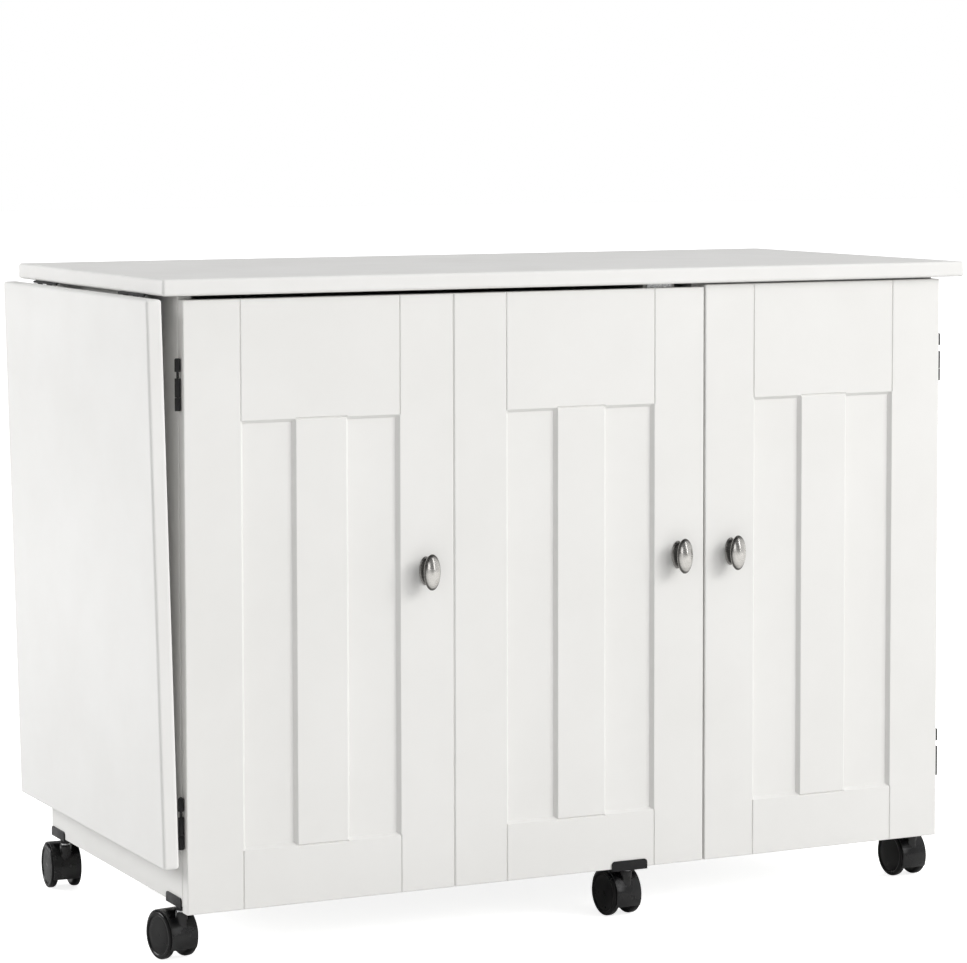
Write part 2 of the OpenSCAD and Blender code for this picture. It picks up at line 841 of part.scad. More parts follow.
module caster_hood(caster) {
    web_w = 8;
    color(BLACK) caster_at(caster) difference() {
        union() {
            intersection() {
                union() {
                    difference() {
                        around_axle(hood_r, -hood_w / 2, hood_w / 2);
                        around_axle(hood_in_r, -hood_w, hood_w);
                    }
                    around_axle(hood_in_r + eps, -web_w / 2, web_w / 2);
                }
                hood_sector();
            }
            around_axle(6, -wheel_in + 0.4, wheel_in - 0.4);
            translate([0, 0, 30]) cylinder(r = boss_r - 0.6, h = 17);
            translate([0, 0, 45]) cylinder(r = boss_r, h = boss_top - 45);
        }
        translate([0, 0, 31]) cylinder(r = stem_r + snug, h = boss_top - 30);
        around_axle(axle_r + snug, -wheel_in, wheel_in);
    }
}

// Steel stem with its collar, and the axle
module caster_stem(caster) {
    color(STEEL) caster_at(caster) {
        translate([0, 0, 31]) cylinder(r = stem_r, h = caster[2] - 1 - 31);
        translate([0, 0, boss_top]) cylinder(r = 5.4, h = collar_t);
        around_axle(axle_r, -wheel_in - axle_grip, wheel_in + axle_grip);
    }
}

// Half of a wheel's section: x is the radius and y runs from its inner face to its outer face
module wheel_section() {
    inner_ease = 4;
    outer_ease = 2.2;
    difference() {
        union() {
            square([wheel_r - inner_ease, wheel_w]);
            translate([0, inner_ease]) square([wheel_r - outer_ease, wheel_w - inner_ease]);
            translate([0, inner_ease]) square([wheel_r, wheel_w - inner_ease - outer_ease]);
            translate([wheel_r - inner_ease, inner_ease]) circle(inner_ease);
            translate([wheel_r - outer_ease, wheel_w - outer_ease]) circle(outer_ease);
        }
        square([axle_r + run_fit, axle_grip + 0.4]);
        translate([20.4, wheel_w - 0.7]) square([1.2, 2]);
    }
}

// side is 1 for the wheel at +X and -1 for the one at -X
module caster_wheel(caster, side) {
    color(BLACK) caster_at(caster) translate([side * wheel_in, trail, axle_z]) rotate([0, side * 90, 0])
        rotate_extrude($fn = 64) intersection() {
            wheel_section();
            square([wheel_r + 1, wheel_w + 1]);
        }
}

tabletop();
left_side_panel();
right_side_panel();
partition_panel();
bottom_panel();
wide_back_panel();
narrow_back_panel();
rear_top_rail();
front_top_rail();
wide_bay_shelf();
upper_shelf();
lower_shelf();
shelf_pins();
cam_locks();
cam_bolts();
magnetic_catches();
caster_saddles();
cabinet_screws();
leaf_hinge_top_plates();
leaf_hinge_pins();
left_hinge_side_plates();
right_hinge_side_plates();
door_hinge_pins();
drop_leaf();
leaf_hinge_leaf_plates();
leaf_screws();
wide_door_panel();
wide_door_hinge_plates();
wide_door_left_knob();
wide_door_right_knob();
wide_door_screws();
wide_door_strike();
door_caster_saddle();
right_door_panel();
right_door_hinge_plates();
right_door_knob();
right_door_screws();
right_door_strike();
caster_hood(FRONT_LEFT);  // front_left_caster_hood
caster_stem(FRONT_LEFT);  // front_left_caster_stem
caster_wheel(FRONT_LEFT, -1);  // front_left_caster_left_wheel
caster_wheel(FRONT_LEFT, 1);  // front_left_caster_right_wheel
caster_hood(REAR_LEFT);  // rear_left_caster_hood
caster_stem(REAR_LEFT);  // rear_left_caster_stem
caster_wheel(REAR_LEFT, -1);  // rear_left_caster_left_wheel
caster_wheel(REAR_LEFT, 1);  // rear_left_caster_right_wheel
caster_hood(FRONT_RIGHT);  // front_right_caster_hood
caster_stem(FRONT_RIGHT);  // front_right_caster_stem
caster_wheel(FRONT_RIGHT, -1);  // front_right_caster_left_wheel
caster_wheel(FRONT_RIGHT, 1);  // front_right_caster_right_wheel
caster_hood(REAR_RIGHT);  // rear_right_caster_hood
caster_stem(REAR_RIGHT);  // rear_right_caster_stem
caster_wheel(REAR_RIGHT, -1);  // rear_right_caster_left_wheel
caster_wheel(REAR_RIGHT, 1);  // rear_right_caster_right_wheel
caster_hood(DOOR_CASTER);  // door_caster_hood
caster_stem(DOOR_CASTER);  // door_caster_stem
caster_wheel(DOOR_CASTER, -1);  // door_caster_left_wheel
caster_wheel(DOOR_CASTER, 1);  // door_caster_right_wheel
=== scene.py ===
"""Folding sewing table: the looks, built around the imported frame.

Metres, in the frame's own axes: the front faces -Y and the leaf hangs on the left, at -X.
"""
import json
import math

import bmesh
import bpy
from mathutils import Matrix, Vector


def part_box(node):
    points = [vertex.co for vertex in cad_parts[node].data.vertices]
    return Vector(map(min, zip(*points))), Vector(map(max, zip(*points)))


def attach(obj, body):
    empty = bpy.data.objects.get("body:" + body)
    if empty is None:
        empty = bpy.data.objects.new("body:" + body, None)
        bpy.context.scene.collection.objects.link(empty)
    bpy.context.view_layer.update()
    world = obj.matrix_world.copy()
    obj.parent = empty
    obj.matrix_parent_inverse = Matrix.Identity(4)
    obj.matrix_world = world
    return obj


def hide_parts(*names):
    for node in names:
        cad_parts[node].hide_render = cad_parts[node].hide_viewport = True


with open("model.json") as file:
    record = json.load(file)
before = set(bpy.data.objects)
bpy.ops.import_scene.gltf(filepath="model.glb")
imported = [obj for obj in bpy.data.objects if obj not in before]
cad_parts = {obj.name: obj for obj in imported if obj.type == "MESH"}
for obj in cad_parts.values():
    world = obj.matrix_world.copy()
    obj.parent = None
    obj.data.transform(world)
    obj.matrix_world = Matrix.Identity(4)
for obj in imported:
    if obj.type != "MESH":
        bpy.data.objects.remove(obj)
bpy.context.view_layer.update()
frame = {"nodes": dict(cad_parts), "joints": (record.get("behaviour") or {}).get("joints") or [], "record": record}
JOINTS = {joint["name"]: joint for joint in frame["joints"]}

# ---- Driving sizes, in metres --------------------------------------------------------------
MM = 0.001
EDGE_R = 3.5 * MM              # rounding of the tabletop's and the leaf's edges
BOARD_EASE = 0.6 * MM          # rounding of the other boards' edges
LEAF_GAP = 0.4 * MM            # between the tabletop and the raised leaf
LEAF_LENGTH = 605.6 * MM

LEFT_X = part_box("left_side_panel")[0].x
RIGHT_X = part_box("right_side_panel")[1].x
DOOR_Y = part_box("wide_door_panel")[0].y
FRONT_W = (RIGHT_X - LEFT_X) / 3
DOOR_EASE = 1.1 * MM           # rounding of the doors' front edges
STILE = 64.5 * MM              # width of the uprights at a front's sides
BATTEN = 58.6 * MM             # width of the upright between a front's two recesses
UPPER_RAIL = 130 * MM          # from a door's top edge down to the recesses
RECESS_Z = 121.5 * MM          # from the floor up to the recesses
RECESS_DEPTH = 5 * MM
BEVEL = 3.5 * MM               # width of the sloping walls round a recess
RECESS_SOFT = 0.25 * MM        # half the width over which those walls turn
JOINT_GROOVE = 2 * MM          # between the rails and the uprights
BATTEN_GROOVE = 2.6 * MM       # between the rails and the battens
GROOVE_RUN = 0.7 * MM          # how far a groove runs on into a recess
SEAM_GROOVE = 3 * MM           # between the wide door's two fronts
GROOVE_STEEPNESS = 1.5         # depth of a V-groove over half its width
GROOVE_SOFT = 0.25             # softness of its lips, as a part of half its width
GRID_STEP = 0.05 * MM          # lines of a door's grid closer than this become one

KNOB_STRETCH = 2.0             # height of the oval knobs over their width
KNOB_OUT = 24.5 * MM           # how far they stand out from the door
WHEEL_IN = 9 * MM              # from a wheel's joint to its inner face

HOOD_EASE = 0.4 * MM           # rounding of the casters' hoods
METAL_EASE = 0.25 * MM         # rounding of the saddles and hinge plates

# ---- Camera --------------------------------------------------------------------------------
CAMERA_PLACE = (-1.7482, -3.6131, 0.9011)
CAMERA_YAW, CAMERA_PITCH, CAMERA_ROLL = 25.77, -3.98, -0.11     # degrees
CAMERA_SENSOR, CAMERA_LENS = 36, 127.82                         # millimetres
CAMERA_SHIFT_Y = -0.1241                                        # of the picture's width


def make_camera():
    """A long lens from the front left, a little above the tabletop."""
    data = bpy.data.cameras.new("camera")
    data.sensor_fit = "HORIZONTAL"
    data.sensor_width = CAMERA_SENSOR
    data.lens = CAMERA_LENS
    data.shift_y = CAMERA_SHIFT_Y
    data.clip_end = 100
    camera = bpy.data.objects.new("camera", data)
    bpy.context.scene.collection.objects.link(camera)
    turn = Matrix.Rotation(math.radians(-CAMERA_YAW), 4, "Z")
    tip = Matrix.Rotation(math.radians(90 + CAMERA_PITCH), 4, "X")
    roll = Matrix.Rotation(math.radians(CAMERA_ROLL), 4, "Z")
    camera.matrix_world = Matrix.Translation(CAMERA_PLACE) @ turn @ tip @ roll
    bpy.context.scene.camera = camera


make_camera()


# ---- Materials -----------------------------------------------------------------------------
NOISE_RANGE = (0.3, 0.7)       # where most of a noise texture's values lie
PAINT_RANGE = (0.35, 0.7)      # leaves the first of two colours the larger share


class Nodes:
    """A short way to build a material's node tree."""

    def __init__(self, name):
        """place is the point on the piece that textures are worked out from."""
        self.material = bpy.data.materials.new(name)
        self.material.use_nodes = True
        self.tree = self.material.node_tree
        self.shader = self.tree.nodes["Principled BSDF"]
        self.place = self.new("ShaderNodeTexCoord").outputs["Object"]

    def new(self, kind, **settings):
        """A new node, with its settings such as operation."""
        node = self.tree.nodes.new(kind)
        for key, value in settings.items():
            setattr(node, key, value)
        return node

    def link(self, source, target):
        """Joins an output to an input."""
        self.tree.links.new(source, target)

    def stretched(self, scale):
        """The place on the piece, scaled along each axis."""
        mapping = self.new("ShaderNodeMapping")
        mapping.inputs["Scale"].default_value = scale
        self.link(self.place, mapping.inputs["Vector"])
        return mapping.outputs["Vector"]

    def noise(self, scale, detail=3.0, roughness=0.5, stretch=None, distortion=0.0):
        """A cloudy pattern from 0 to 1, with scale as the number of its clouds in a metre."""
        node = self.new("ShaderNodeTexNoise")
        node.inputs["Scale"].default_value = scale
        node.inputs["Detail"].default_value = detail
        node.inputs["Roughness"].default_value = roughness
        node.inputs["Distortion"].default_value = distortion
        self.link(self.stretched(stretch) if stretch else self.place, node.inputs["Vector"])
        return node.outputs["Fac"]

    def ramp(self, source, low, high, start=0.0, end=1.0):
        """source from start to end becomes low to high, as numbers."""
        node = self.new("ShaderNodeMapRange")
        node.inputs["From Min"].default_value = start
        node.inputs["From Max"].default_value = end
        node.inputs["To Min"].default_value = low
        node.inputs["To Max"].default_value = high
        self.link(source, node.inputs["Value"])
        return node.outputs["Result"]

    def colours(self, source, first, second, start=0.0, end=1.0):
        """source from start to end becomes first to second, as colours."""
        node = self.new("ShaderNodeValToRGB")
        node.color_ramp.elements[0].position = start
        node.color_ramp.elements[1].position = end
        node.color_ramp.elements[0].color = (*first, 1)
        node.color_ramp.elements[1].color = (*second, 1)
        self.link(source, node.inputs["Fac"])
        return node.outputs["Color"]

    def bump(self, *heights, strength=0.2, distance=0.0002):
        """Each height is bumped on top of the one before."""
        normal = None
        for height in heights:
            node = self.new("ShaderNodeBump")
            node.inputs["Strength"].default_value = strength
            node.inputs["Distance"].default_value = distance
            self.link(height, node.inputs["Height"])
            if normal:
                self.link(normal, node.inputs["Normal"])
            normal = node.outputs["Normal"]
        self.link(normal, self.shader.inputs["Normal"])

    def set(self, **values):
        """Fixed values of the shader's inputs, with _ for a space in their names."""
        for key, value in values.items():
            self.shader.inputs[key.replace("_", " ")].default_value = value


def white_board(name, base, shade, roughness, texture=900.0):
    """Foil or laminate: off-white, a faint mottle, a fine orange-peel skin and a soft sheen."""
    n = Nodes(name)
    mottle = n.noise(7.0, detail=4.0, roughness=0.6)
    n.link(n.colours(mottle, base, shade, *PAINT_RANGE), n.shader.inputs["Base Color"])
    smudge = n.noise(18.0, detail=5.0, roughness=0.65)
    n.link(n.ramp(smudge, roughness - 0.05, roughness + 0.08, *NOISE_RANGE), n.shader.inputs["Roughness"])
    n.set(Specular_IOR_Level=0.45)
    skin, waves = n.noise(texture, detail=2.0), n.noise(90.0, detail=2.0)
    n.bump(skin, waves, strength=0.12, distance=0.06 * MM)
    return n.material


def black_metal():
    """Stove-enamelled steel: near black, a satin sheen and a fine grain."""
    n = Nodes("black_metal")
    grain = n.noise(2600.0, detail=2.0)
    cloud = n.noise(60.0)
    n.link(n.colours(cloud, (0.006, 0.006, 0.007), (0.014, 0.014, 0.015), *PAINT_RANGE),
           n.shader.inputs["Base Color"])
    n.link(n.ramp(cloud, 0.32, 0.46, *NOISE_RANGE), n.shader.inputs["Roughness"])
    n.set(Metallic=0.0, Specular_IOR_Level=0.35)
    n.bump(grain, strength=0.25, distance=0.05 * MM)
    return n.material


# How light the knobs' nickel is painted from foot to dome: painted shade darkens the waist, where the neck lies in
# shade, and the lines beside the rim's bead, where dark reflections fall; the dome is painted lightest
NICKEL_PAINTED_SHADE = [(0.0, 0.20), (0.05, 0.30), (0.12, 0.07), (0.56, 0.06), (0.64, 0.12), (0.69, 0.50),
                (0.735, 0.10), (0.775, 0.16), (0.82, 0.62), (0.90, 0.85)]
NICKEL_TINT = (1.0, 0.975, 0.935)


def nickel():
    """Satin nickel: a slightly warm metal, painted light on the dome and painted dark with shade on the waist and
    beside the rim.
    """
    n = Nodes("satin_nickel")
    brushed = n.noise(420.0, detail=4.0, roughness=0.6, stretch=(0.25, 0.25, 5.0))
    axes = n.new("ShaderNodeSeparateXYZ")
    n.link(n.place, axes.inputs["Vector"])
    uneven = n.new("ShaderNodeMath", operation="ADD")
    n.link(n.ramp(axes.outputs["Y"], 0.0, 1.0, DOOR_Y, DOOR_Y - KNOB_OUT), uneven.inputs[0])
    n.link(n.ramp(n.noise(55.0, detail=4.0), -0.006, 0.006, *NOISE_RANGE), uneven.inputs[1])
    # Painted shade: this ramp darkens the waist and the rim's edges by their place along the knob, standing in for
    # the shade and dark reflections there
    painted_shade = n.new("ShaderNodeValToRGB")
    n.link(uneven.outputs["Value"], painted_shade.inputs["Fac"])
    stops = painted_shade.color_ramp.elements
    while len(stops) < len(NICKEL_PAINTED_SHADE):
        stops.new(1.0)
    for stop, (place, light) in zip(stops, NICKEL_PAINTED_SHADE):
        stop.position = place
        stop.color = (*(light * c for c in NICKEL_TINT), 1)
    n.link(painted_shade.outputs["Color"], n.shader.inputs["Base Color"])
    n.link(n.ramp(brushed, 0.25, 0.29, *NOISE_RANGE), n.shader.inputs["Roughness"])
    n.set(Metallic=1.0)
    n.bump(brushed, strength=0.01, distance=0.02 * MM)
    return n.material


def zinc():
    """Bright zinc plate."""
    n = Nodes("zinc_plate")
    spangle = n.noise(160.0, detail=4.0, roughness=0.7)
    n.link(n.colours(spangle, (0.60, 0.61, 0.63), (0.78, 0.78, 0.77), *NOISE_RANGE),
           n.shader.inputs["Base Color"])
    n.link(n.ramp(spangle, 0.18, 0.36, *NOISE_RANGE), n.shader.inputs["Roughness"])
    n.set(Metallic=1.0)
    n.bump(n.noise(900.0), strength=0.1, distance=0.03 * MM)
    return n.material


def nylon(name, base, roughness, grain, gloss):
    """Moulded black nylon: a fine spark-eroded grain, faint flow marks and a soft gloss."""
    n = Nodes(name)
    flow = n.noise(45.0, detail=4.0, roughness=0.6, distortion=0.6)
    darker = tuple(0.6 * c for c in base)
    n.link(n.colours(flow, darker, base, *NOISE_RANGE), n.shader.inputs["Base Color"])
    n.link(n.ramp(flow, roughness - 0.06, roughness + 0.08, *NOISE_RANGE), n.shader.inputs["Roughness"])
    n.set(Specular_IOR_Level=gloss)
    n.bump(n.noise(grain, detail=2.0), strength=0.2, distance=0.04 * MM)
    return n.material


def catch_plastic():
    """White moulded plastic."""
    n = Nodes("catch_plastic")
    flow = n.noise(60.0)
    n.link(n.colours(flow, (0.70, 0.70, 0.67), (0.78, 0.78, 0.75), *NOISE_RANGE),
           n.shader.inputs["Base Color"])
    n.link(n.ramp(flow, 0.35, 0.5, *NOISE_RANGE), n.shader.inputs["Roughness"])
    n.bump(n.noise(1500.0), strength=0.2, distance=0.05 * MM)
    return n.material


MATERIALS = {
    "top_laminate": white_board("top_laminate", (0.80, 0.795, 0.78), (0.83, 0.827, 0.815), 0.34),
    "door_foil": white_board("door_foil", (0.79, 0.785, 0.768), (0.815, 0.81, 0.795), 0.38, 1200.0),
    "side_laminate": white_board("side_laminate", (0.78, 0.775, 0.758), (0.81, 0.805, 0.79), 0.42),
    "inner_laminate": white_board("inner_laminate", (0.76, 0.755, 0.735), (0.79, 0.785, 0.77), 0.52),
    "black_metal": black_metal(),
    "nickel": nickel(),
    "steel": zinc(),
    "caster_plastic": nylon("hood_nylon", (0.006, 0.006, 0.0065), 0.24, 1800.0, 0.55),
    "catch_plastic": catch_plastic(),
}
WHEEL_MATERIAL = nylon("wheel_nylon", (0.004, 0.004, 0.0045), 0.30, 1400.0, 0.25)


def finish_piece(piece, body, slot, material=None):
    """A new piece takes its slot's material or its own, and its place in the motion."""
    piece.data.materials.clear()
    piece.data.materials.append(material or MATERIALS[slot])
    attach(piece, body)


def from_bmesh(name, bm, flat_area=None):
    """A bmesh as an object; faces over flat_area (square metres) are shaded flat."""
    bmesh.ops.recalc_face_normals(bm, faces=bm.faces)
    mesh = bpy.data.meshes.new(name)
    for face in bm.faces:
        face.smooth = flat_area is None or face.calc_area() < flat_area
    bm.to_mesh(mesh)
    bm.free()
    piece = bpy.data.objects.new(name, mesh)
    bpy.context.scene.collection.objects.link(piece)
    return piece


# ---- Boards --------------------------------------------------------------------------------
FLAT_BLOCK_AREA = 3e-4         # square metres: a block's faces over this are flat, the rest round
EASE_SEGMENTS = 2              # round a slightly eased edge
EDGE_SEGMENTS = 6              # round the tabletop's and the leaf's edges


def eased_block(name, low, high, ease, segments):
    """A box from low to high with all its edges rounded."""
    bm = bmesh.new()
    bmesh.ops.create_cube(bm, size=1)
    size = [b - a for a, b in zip(low, high)]
    for vertex in bm.verts:
        vertex.co = Vector(low) + Vector([(c + 0.5) * s for c, s in zip(vertex.co, size)])
    bmesh.ops.bevel(bm, geom=bm.edges[:], offset=ease, offset_type="OFFSET", segments=segments,
                    profile=0.5, affect="EDGES", clamp_overlap=True)
    return from_bmesh(name, bm, flat_area=FLAT_BLOCK_AREA)


# Each board and its slot
BOARDS = {
    "left_side_panel": "side_laminate",
    "right_side_panel": "side_laminate",
    "partition_panel": "inner_laminate",
    "bottom_panel": "inner_laminate",
    "wide_back_panel": "inner_laminate",
    "narrow_back_panel": "inner_laminate",
    "rear_top_rail": "inner_laminate",
    "front_top_rail": "inner_laminate",
    "wide_bay_shelf": "inner_laminate",
    "upper_shelf": "inner_laminate",
    "lower_shelf": "inner_laminate",
}


def make_boards():
    """The cabinet's plain boards, with their edges eased."""
    for node, slot in BOARDS.items():
        low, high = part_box(node)
        board = eased_block(node + "_eased", low, high, BOARD_EASE, EASE_SEGMENTS)
        finish_piece(board, "cabinet", slot)
        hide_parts(node)


def make_top():
    """The tabletop, with round edges."""
    low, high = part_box("tabletop")
    top = eased_block("tabletop_eased", low, high, EDGE_R, EDGE_SEGMENTS)
    finish_piece(top, "cabinet", "top_laminate")
    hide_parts("tabletop")


def make_leaf():
    """The leaf is shaped raised and then hung on its hinge line."""
    hinge = JOINTS["leaf_hinge"]
    axis_x, _, axis_z = hinge["pos_m"]
    lean = math.radians(hinge["range_deg"][1])
    top_low, top_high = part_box("tabletop")
    low = (top_low.x - LEAF_GAP - LEAF_LENGTH, top_low.y, top_low.z)
    high = (top_low.x - LEAF_GAP, top_high.y, top_high.z)
    leaf = eased_block("drop_leaf_eased", low, high, EDGE_R, EDGE_SEGMENTS)
    axis = Matrix.Translation((axis_x, 0, axis_z))
    leaf.data.transform(axis @ Matrix.Rotation(-lean, 4, "Y") @ axis.inverted())
    finish_piece(leaf, "leaf", "top_laminate")
    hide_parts("drop_leaf")


# ---- Doors ---------------------------------------------------------------------------------
def recess_ramp(inside):
    """Depth of a recess at a distance inside its outline: a bevelled wall with soft ends."""
    soft = RECESS_SOFT
    slope = RECESS_DEPTH / BEVEL
    if inside <= -soft:
        return 0.0
    if inside < soft:
        return slope * (inside + soft) ** 2 / (4 * soft)
    if inside < BEVEL - soft:
        return slope * inside
    if inside < BEVEL + soft:
        return RECESS_DEPTH - slope * (BEVEL + soft - inside) ** 2 / (4 * soft)
    return RECESS_DEPTH


def groove_depth(distance, width):
    """Depth of a V-groove with soft lips at a distance from its middle line."""
    half = width / 2
    soft = GROOVE_SOFT * half
    inside = half - abs(distance)
    if inside <= -soft:
        return 0.0
    if inside < soft:
        return GROOVE_STEEPNESS * (inside + soft) ** 2 / (4 * soft)
    return GROOVE_STEEPNESS * inside


def edge_drop(inside, radius):
    """How far a rounded edge falls away at a distance inside the outline."""
    if inside >= radius:
        return 0.0
    return radius - math.sqrt(max(0.0, radius ** 2 - (radius - inside) ** 2))


def spread(places):
    """The places in order, with any too close to the one before left out."""
    kept = []
    for place in sorted(places):
        if not kept or place - kept[-1] > GRID_STEP:
            kept.append(place)
    return kept


# Where a door's grid has its lines, close together where the shape turns
RECESS_LINES = [-0.36, -0.25, -0.08, 0.08, 0.25, 1.2, 2.2, 3.25, 3.42, 3.58, 3.75, 4.0]    # mm inside
GROOVE_LINES = [-1.4, -1.25, -1.0, -0.75, -0.1, 0.1, 0.75, 1.0, 1.25, 1.4]    # half widths off its middle
EDGE_LINES = [0.0, 0.08, 0.3, 0.62, 1.0, 1.4]    # mm inside the door's outline
PLAIN_ROWS = 12                # further lines divide a door's height into this many rows
FLAT_DOOR_AREA = 0.05          # square metres: only a door's back is over this and shaded flat


class Front:
    """The shape of a door's front: recesses with battens between them, and V-grooves at the joints."""

    def __init__(self, low, high, lefts, seam):
        """lefts are the left edges of the door's equal fronts, and seam is the line between two."""
        self.low, self.high, self.seam = low, high, seam
        self.bottom, self.top = RECESS_Z, high.z - UPPER_RAIL
        recess = (FRONT_W - BATTEN) / 2 - STILE
        self.recesses, self.uprights, self.battens = [], [], []
        for left in lefts:
            for start in (left + STILE, left + (FRONT_W + BATTEN) / 2):
                self.recesses.append((start, start + recess))
            self.uprights += [left + STILE, left + FRONT_W - STILE]
            self.battens.append(left + FRONT_W / 2)

    def columns(self):
        """The grid's places along X."""
        xs = [self.low.x + d * MM for d in EDGE_LINES] + [self.high.x - d * MM for d in EDGE_LINES]
        for start, end in self.recesses:
            xs += [start + d * MM for d in RECESS_LINES] + [end - d * MM for d in RECESS_LINES]
        for x in self.uprights:
            xs += [x + d * JOINT_GROOVE / 2 for d in GROOVE_LINES]
        if self.seam is not None:
            xs += [self.seam + d * SEAM_GROOVE / 2 for d in GROOVE_LINES]
        return spread(xs)

    def rows(self):
        """The grid's places along Z."""
        low_z, high_z = self.low.z, self.high.z
        zs = [low_z + d * MM for d in EDGE_LINES] + [high_z - d * MM for d in EDGE_LINES]
        zs += [self.bottom + d * MM for d in RECESS_LINES] + [self.top - d * MM for d in RECESS_LINES]
        zs += [z + d * BATTEN_GROOVE / 2 for z in (self.bottom, self.top) for d in GROOVE_LINES]
        zs += [low_z + (high_z - low_z) * k / PLAIN_ROWS for k in range(1, PLAIN_ROWS)]
        return spread(zs)

    def depth(self, x, z):
        """How far the surface lies behind the door's foremost plane."""
        low, high, bottom, top = self.low, self.high, self.bottom, self.top
        deep = edge_drop(min(x - low.x, high.x - x, z - low.z, high.z - z), DOOR_EASE)
        for start, end in self.recesses:
            deep = max(deep, recess_ramp(min(x - start, end - x, z - bottom, top - z)))
        if not bottom + GROOVE_RUN < z < top - GROOVE_RUN:
            for line in self.uprights:
                deep = max(deep, groove_depth(x - line, JOINT_GROOVE))
        for batten in self.battens:
            if abs(x - batten) < BATTEN / 2 + GROOVE_RUN:
                for line in (bottom, top):
                    deep = max(deep, groove_depth(z - line, BATTEN_GROOVE))
        if self.seam is not None:
            deep = max(deep, groove_depth(x - self.seam, SEAM_GROOVE))
        return deep


def outline(grid):
    """The outermost vertices of a grid, once round."""
    last_x, last_z = len(grid) - 1, len(grid[0]) - 1
    rim = [grid[i][0] for i in range(last_x)] + [grid[last_x][j] for j in range(last_z)]
    rim += [grid[i][last_z] for i in range(last_x, 0, -1)] + [grid[0][j] for j in range(last_z, 0, -1)]
    return rim


def close_behind(bm, rim, low, high):
    """A door's edges and its plain back, from its front's outline."""
    middle = (low + high) / 2
    half = (high - low) / 2
    corner = 0.3 * BOARD_EASE      # the middle of the rounded edge

    def ring(y, inset):
        """The outline again at y, drawn in by inset."""
        shrink_x, shrink_z = 1 - inset / half.x, 1 - inset / half.z
        return [bm.verts.new((middle.x + (v.co.x - middle.x) * shrink_x, y,
                              middle.z + (v.co.z - middle.z) * shrink_z)) for v in rim]

    rings = [rim, ring(high.y - BOARD_EASE, 0), ring(high.y - corner, corner), ring(high.y, BOARD_EASE)]
    for near, far in zip(rings, rings[1:]):
        for k in range(len(rim)):
            after = (k + 1) % len(rim)
            bm.faces.new((near[after], near[k], far[k], far[after]))
    bm.faces.new(rings[-1])


def make_door(name, node, body, lefts, seam=None):
    """A door's front is a sheet of depths over a grid with lines where its shape turns."""
    low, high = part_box(node)
    front = Front(low, high, lefts, seam)
    xs, zs = front.columns(), front.rows()
    bm = bmesh.new()
    grid = [[bm.verts.new((x, low.y + front.depth(x, z), z)) for z in zs] for x in xs]
    for i in range(len(xs) - 1):
        for j in range(len(zs) - 1):
            bm.faces.new((grid[i][j], grid[i + 1][j], grid[i + 1][j + 1], grid[i][j + 1]))
    close_behind(bm, outline(grid), low, high)
    door = from_bmesh(name, bm, flat_area=FLAT_DOOR_AREA)
    finish_piece(door, body, "door_foil")
    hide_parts(node)


def make_doors():
    """The wide door carries two of the three equal fronts, the right door one."""
    make_door("wide_door_front", "wide_door_panel", "wide_door", [LEFT_X, LEFT_X + FRONT_W],
              seam=LEFT_X + FRONT_W)
    make_door("right_door_front", "right_door_panel", "right_door", [LEFT_X + 2 * FRONT_W])


# ---- Turned pieces -------------------------------------------------------------------------
TURNED_STEPS = 96              # faces round a turned piece


def lathe(name, profile):
    """profile is [(radius, height)], turned about Z; a radius of 0 closes the end with a point."""
    steps = TURNED_STEPS
    bm = bmesh.new()
    rings = []
    for radius, height in profile:
        if radius == 0:
            rings.append([bm.verts.new((0, 0, height))])
            continue
        rings.append([bm.verts.new((radius * math.cos(2 * math.pi * k / steps),
                                    radius * math.sin(2 * math.pi * k / steps), height))
                      for k in range(steps)])
    for near, far in zip(rings, rings[1:]):
        for k in range(steps):
            after = (k + 1) % steps
            corners = [near[k % len(near)], near[after % len(near)], far[after % len(far)], far[k % len(far)]]
            unique = list(dict.fromkeys(corners))
            if len(unique) > 2:
                bm.faces.new(unique)
    return from_bmesh(name, bm)


def arc(cx, cy, r, start, end, steps):
    """Points on a circle in the profile's plane, angles in degrees."""
    return [(cx + r * math.cos(math.radians(start + (end - start) * k / steps)),
             cy + r * math.sin(math.radians(start + (end - start) * k / steps)))
            for k in range(steps + 1)]


def knob_profile(out):
    """Half of a knob's section, from its foot on the door to its dome: radius, and height up to out."""
    foot = [(0, 0), (7.3, 0)] + arc(7.3, 0.6, 0.6, -60, 80, 5)
    neck = [(7.1, 1.6), (6.6, 2.4), (6.0, 3.6), (5.4, 5.4), (5.05, 7.6), (4.95, 9.4), (5.1, 11.2),
            (5.7, 12.9), (6.9, 14.4), (8.3, 15.3)]
    rim = [(9.1, 15.6), (9.6, 15.95), (9.9, 16.5), (9.97, 17.1), (9.8, 17.65), (9.45, 17.95)]
    dome = [(9.3, 18.2), (9.2, 18.6), (8.75, 19.4), (7.9, 20.5), (6.8, 21.55), (5.5, 22.5), (4.1, 23.35),
            (2.7, 23.98), (1.3, 24.37), (0, 24.5)]
    scale = out / KNOB_OUT
    return [(r * MM, h * MM * scale) for r, h in foot + neck + rim + dome]


def make_knob(name, node, body):
    """A turned knob, stretched upwards into an oval."""
    low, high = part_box(node)
    knob = lathe(name, knob_profile(high.y - low.y))
    centre = (low + high) / 2
    place = Matrix.Translation((centre.x, high.y, centre.z))
    stretch = Matrix.Diagonal((1, 1, KNOB_STRETCH, 1))
    knob.data.transform(place @ stretch @ Matrix.Rotation(math.radians(90), 4, "X"))
    finish_piece(knob, body, "nickel")
    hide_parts(node)


def make_knobs():
    """Two knobs on the wide door and one on the right door."""
    make_knob("wide_door_knob_left", "wide_door_left_knob", "wide_door")
    make_knob("wide_door_knob_right", "wide_door_right_knob", "wide_door")
    make_knob("right_door_knob_turned", "right_door_knob", "right_door")


